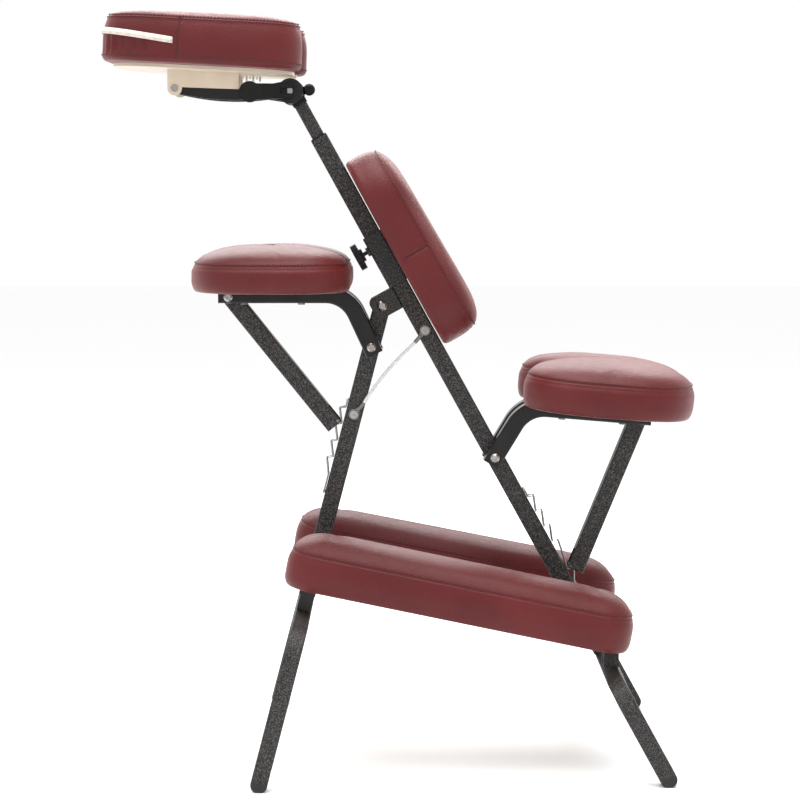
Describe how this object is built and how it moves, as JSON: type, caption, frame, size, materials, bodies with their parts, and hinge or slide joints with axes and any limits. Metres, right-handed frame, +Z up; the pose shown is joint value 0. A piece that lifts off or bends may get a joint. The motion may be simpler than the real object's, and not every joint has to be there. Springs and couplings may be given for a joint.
{
  "type": "kneeling massage chair",
  "caption": "Folding kneeling massage chair of square steel tube with padded knee rests, seat, chest pad, armrest and a tilting face cradle.",
  "frame": {"origin": "on the floor, in the plane of symmetry, within 4 mm of the middle of the chair's overall length; floor at z = 0", "axes": "+Z up, +X towards the rear legs and the seat, +Y across the chair to the user's right"},
  "size_m": [0.8641, 0.552, 1.0927],
  "materials": {
    "powder_coat": "charcoal textured powder coat",
    "satin_black": "satin black paint",
    "upholstery": "dusty red artificial leather, fine grain",
    "plywood": "birch plywood",
    "zinc": "zinc-plated steel",
    "bright_bolt": "nickel-plated steel",
    "rack_wire": "dull zinc-plated wire",
    "cable": "steel wire rope in a clear jacket",
    "black_plastic": "moulded, slightly rough",
    "cream_plastic": "moulded ABS",
    "rubber": "moulded rubber"
  },
  "bodies": {
    "main_frame": {"main_tube": "powder_coat", "top_bush": "black_plastic", "rear_leg_frame": "powder_coat", "rear_foot_caps": "rubber", "hinge_bracket": "powder_coat", "hinge_bolt": "bright_bolt", "seat_rack": "rack_wire", "seat_pivot_bolt": "bright_bolt", "cable_upper_bolt": "bright_bolt", "cable_upper_eyelet": "zinc", "stay_cable": "cable", "knee_hinge_lugs": "powder_coat", "knee_hinge_pin": "satin_black"},
    "front_leg": {"front_post": "powder_coat", "front_leg_frame": "powder_coat", "front_foot_caps": "rubber", "arm_rack": "rack_wire", "arm_pivot_bolt": "bright_bolt", "cable_lower_bolt": "bright_bolt", "cable_lower_eyelet": "zinc"},
    "knee_rest": {"knee_rail_left": "satin_black", "knee_rail_right": "satin_black", "knee_saddles": "rubber", "knee_board_left": "plywood", "knee_board_right": "plywood", "knee_cushion_left": "upholstery", "knee_cushion_right": "upholstery", "knee_pad_screws": "zinc"},
    "seat": {"seat_bar_left": "satin_black", "seat_bar_right": "satin_black", "seat_board": "plywood", "seat_cushion": "upholstery", "seat_strut_bolt": "bright_bolt", "seat_pad_screws": "zinc"},
    "seat_prop": {"seat_strut": "powder_coat", "seat_strut_pin": "zinc"},
    "armrest": {"arm_bar_left": "satin_black", "arm_bar_right": "satin_black", "arm_board": "plywood", "arm_cushion": "upholstery", "arm_strut_bolt": "bright_bolt", "arm_pad_screws": "zinc"},
    "arm_prop": {"arm_strut": "powder_coat", "arm_strut_pin": "zinc"},
    "chest_carriage": {"chest_sleeve": "powder_coat", "chest_plate": "satin_black", "chest_board": "plywood", "chest_cushion": "upholstery"},
    "knob": {"clamp_knob": "black_plastic"},
    "head_slider": {"head_post": "powder_coat", "hub_block": "black_plastic", "hub_cap": "black_plastic"},
    "cradle": {"cradle_arm": "satin_black", "hub_bolt": "bright_bolt", "cam_pin": "zinc"},
    "lever": {"cam_lever": "black_plastic"},
    "face_rest": {"face_platform": "cream_plastic", "platform_rivet": "bright_bolt", "face_cushion": "upholstery"}
  },
  "joints": [
    {"name": "base_fold", "type": "hinge", "parent": "main_frame", "child": "front_leg", "pos_m": [-0.02649, 0, 0.6644], "axis": [0, -1, 0], "range_deg": [0, 38], "deforming": ["stay_cable"]},
    {"name": "knee_rest_fold", "type": "hinge", "parent": "main_frame", "child": "knee_rest", "pos_m": [0.3057, 0, 0.1671], "axis": [0, 1, 0], "range_deg": [0, 35.84]},
    {"name": "seat_fold", "type": "hinge", "parent": "main_frame", "child": "seat", "pos_m": [0.14059, 0, 0.44057], "axis": [0, 1, 0], "range_deg": [0, 50]},
    {"name": "seat_prop_swing", "type": "hinge", "parent": "seat", "child": "seat_prop", "pos_m": [0.35759, 0, 0.50233], "axis": [0, -1, 0], "range_deg": [0, 95]},
    {"name": "armrest_fold", "type": "hinge", "parent": "front_leg", "child": "armrest", "pos_m": [-0.04206, 0, 0.60459], "axis": [0, -1, 0], "range_deg": [0, 75]},
    {"name": "arm_prop_swing", "type": "hinge", "parent": "armrest", "child": "arm_prop", "pos_m": [-0.25248, 0, 0.67856], "axis": [0, 1, 0], "range_deg": [0, 117.5]},
    {"name": "chest_slide", "type": "slide", "parent": "main_frame", "child": "chest_carriage", "axis": [-0.4833, 0, 0.8755], "range_m": [0, 0.09]},
    {"name": "clamp_turn", "type": "hinge", "parent": "chest_carriage", "child": "knob", "pos_m": [-0.0315, 0, 0.75232], "axis": [-0.8755, 0, -0.4833], "range_deg": [0, 350]},
    {"name": "head_slide", "type": "slide", "parent": "main_frame", "child": "head_slider", "axis": [-0.4833, 0, 0.8755], "range_m": [-0.045, 0.11]},
    {"name": "cradle_tilt", "type": "hinge", "parent": "head_slider", "child": "cradle", "pos_m": [-0.15993, 0, 0.97876], "axis": [0, 1, 0], "range_deg": [-40, 55]},
    {"name": "lever_swing", "type": "hinge", "parent": "cradle", "child": "lever", "pos_m": [-0.15993, -0.0432, 0.97876], "axis": [0, 0, 1], "range_deg": [0, 95]},
    {"name": "face_rest_tilt", "type": "hinge", "parent": "cradle", "child": "face_rest", "pos_m": [-0.3276, 0, 0.9828], "axis": [0, -1, 0], "range_deg": [0, 30]}
  ],
  "couplings": [
    {"joint": "knee_rest_fold", "follows": "base_fold", "ratio": 0.93},
    {"joint": "seat_prop_swing", "follows": "seat_fold", "ratio": 1.89},
    {"joint": "arm_prop_swing", "follows": "armrest_fold", "ratio": 1.56}
  ]
}
